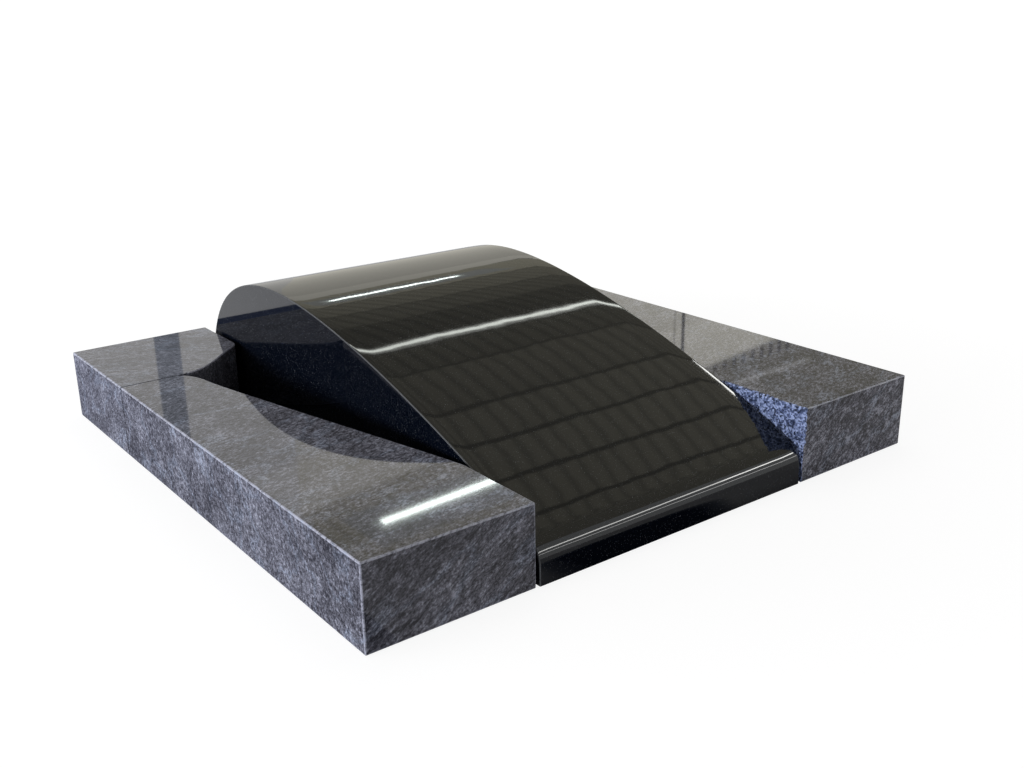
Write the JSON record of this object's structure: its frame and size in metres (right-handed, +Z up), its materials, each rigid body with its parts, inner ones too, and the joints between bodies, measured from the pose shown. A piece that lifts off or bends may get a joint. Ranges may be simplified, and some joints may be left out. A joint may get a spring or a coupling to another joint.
{
  "type": "urn grave monument",
  "caption": "Square plot edging of polished blue granite kerb stones around a wave-shaped block of polished black granite, with a leaf-shaped planting pocket beside the block.",
  "frame": {"origin": "on the ground, in the middle of the plot", "axes": "+Z up, the low front of the block faces -Y, +X to the right as seen from the front"},
  "size_m": [1, 1, 0.245],
  "materials": {
    "black_granite": "mirror polished",
    "blue_granite": "polished, with one split face"
  },
  "bodies": {
    "root": {"wave_block": "black_granite", "left_kerb": "blue_granite", "corner_stone": "blue_granite", "right_kerb": "blue_granite"}
  },
  "joints": []
}
